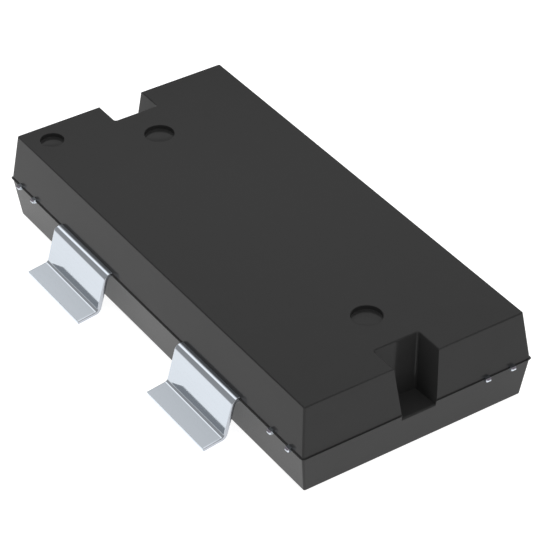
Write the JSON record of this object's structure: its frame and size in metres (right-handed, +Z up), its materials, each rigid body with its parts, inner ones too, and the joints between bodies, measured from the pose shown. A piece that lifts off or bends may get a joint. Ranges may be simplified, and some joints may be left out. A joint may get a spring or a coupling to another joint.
{
  "type": "rf mosfet",
  "caption": "Black over-moulded RF power MOSFET, a push-pull pair with gull-wing leads on both long sides, notched ends and a heat slug in its underside.",
  "frame": {"origin": "the middle of the seating plane, which the toes of the four leads touch", "axes": "+X along the body, towards the end away from the round index mark; +Y across the body, from the gate leads to the drain leads; +Z up, out of the top face"},
  "size_m": [0.0208, 0.013, 0.0037],
  "materials": {
    "moulding_compound": "moulded epoxy, smooth satin gloss",
    "tinned_sheet": "copper sheet, plated with bright tin, stamped and formed",
    "plated_slug": "copper, coined and plated with matt tin",
    "silicon": "polished, diced",
    "die_attach": "gold-rich solder",
    "ribbon_aluminium": "drawn and rolled bright"
  },
  "bodies": {
    "root": {"mould_body": "moulding_compound", "heat_slug": "plated_slug", "gate_lead_a": "tinned_sheet", "drain_lead_a": "tinned_sheet", "gate_tie_bar_a": "tinned_sheet", "drain_tie_bar_a": "tinned_sheet", "transistor_die_a": "silicon", "die_solder_a": "die_attach", "input_capacitor_a": "silicon", "capacitor_solder_a": "die_attach", "gate_ribbons_a": "ribbon_aluminium", "input_ribbons_a": "ribbon_aluminium", "drain_ribbons_a": "ribbon_aluminium", "gate_lead_b": "tinned_sheet", "drain_lead_b": "tinned_sheet", "gate_tie_bar_b": "tinned_sheet", "drain_tie_bar_b": "tinned_sheet", "transistor_die_b": "silicon", "die_solder_b": "die_attach", "input_capacitor_b": "silicon", "capacitor_solder_b": "die_attach", "gate_ribbons_b": "ribbon_aluminium", "input_ribbons_b": "ribbon_aluminium", "drain_ribbons_b": "ribbon_aluminium"}
  },
  "joints": []
}
